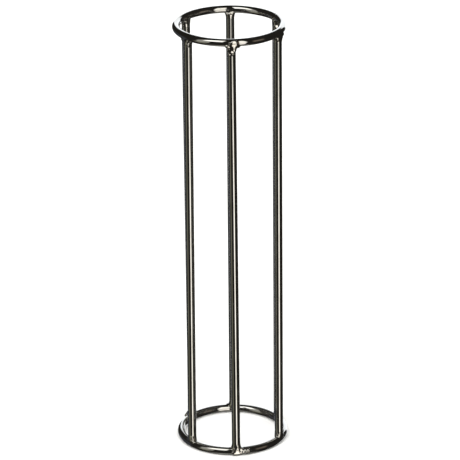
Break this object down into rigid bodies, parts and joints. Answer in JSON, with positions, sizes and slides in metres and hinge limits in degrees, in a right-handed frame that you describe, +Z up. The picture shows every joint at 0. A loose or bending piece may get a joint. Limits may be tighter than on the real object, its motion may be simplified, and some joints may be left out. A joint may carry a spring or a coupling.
{
  "type": "umbrella stand",
  "caption": "Open wire umbrella stand: two round wire rings held apart by upright bars welded between them, chrome plated steel, with no base plate or tray.",
  "frame": {"origin": "on the floor, at the middle of the stand, where the bottom ring's lowest line lies", "axes": "+Z up along the middle of both rings; -Y faces the front, where one upright bar stands nearly in the middle"},
  "size_m": [0.131, 0.1344, 0.516],
  "materials": {
    "ring_chrome": "bright chrome plating over bent round steel wire",
    "bar_chrome": "bright chrome plating over drawn round steel bar",
    "weld_chrome": "bright chrome plating over lumpy weld metal"
  },
  "bodies": {
    "root": {"top_ring": "ring_chrome", "bottom_ring": "ring_chrome", "upright_front": "bar_chrome", "upright_front_right": "bar_chrome", "upright_back_right": "bar_chrome", "upright_back": "bar_chrome", "upright_back_left": "bar_chrome", "upright_front_left": "bar_chrome", "top_weld_front": "weld_chrome", "top_weld_front_right": "weld_chrome", "top_weld_back_right": "weld_chrome", "top_weld_back": "weld_chrome", "top_weld_back_left": "weld_chrome", "top_weld_front_left": "weld_chrome", "bottom_weld_front": "weld_chrome", "bottom_weld_front_right": "weld_chrome", "bottom_weld_back_right": "weld_chrome", "bottom_weld_back": "weld_chrome", "bottom_weld_back_left": "weld_chrome", "bottom_weld_front_left": "weld_chrome", "top_ring_seam_weld": "weld_chrome", "bottom_ring_seam_weld": "weld_chrome"}
  },
  "joints": []
}
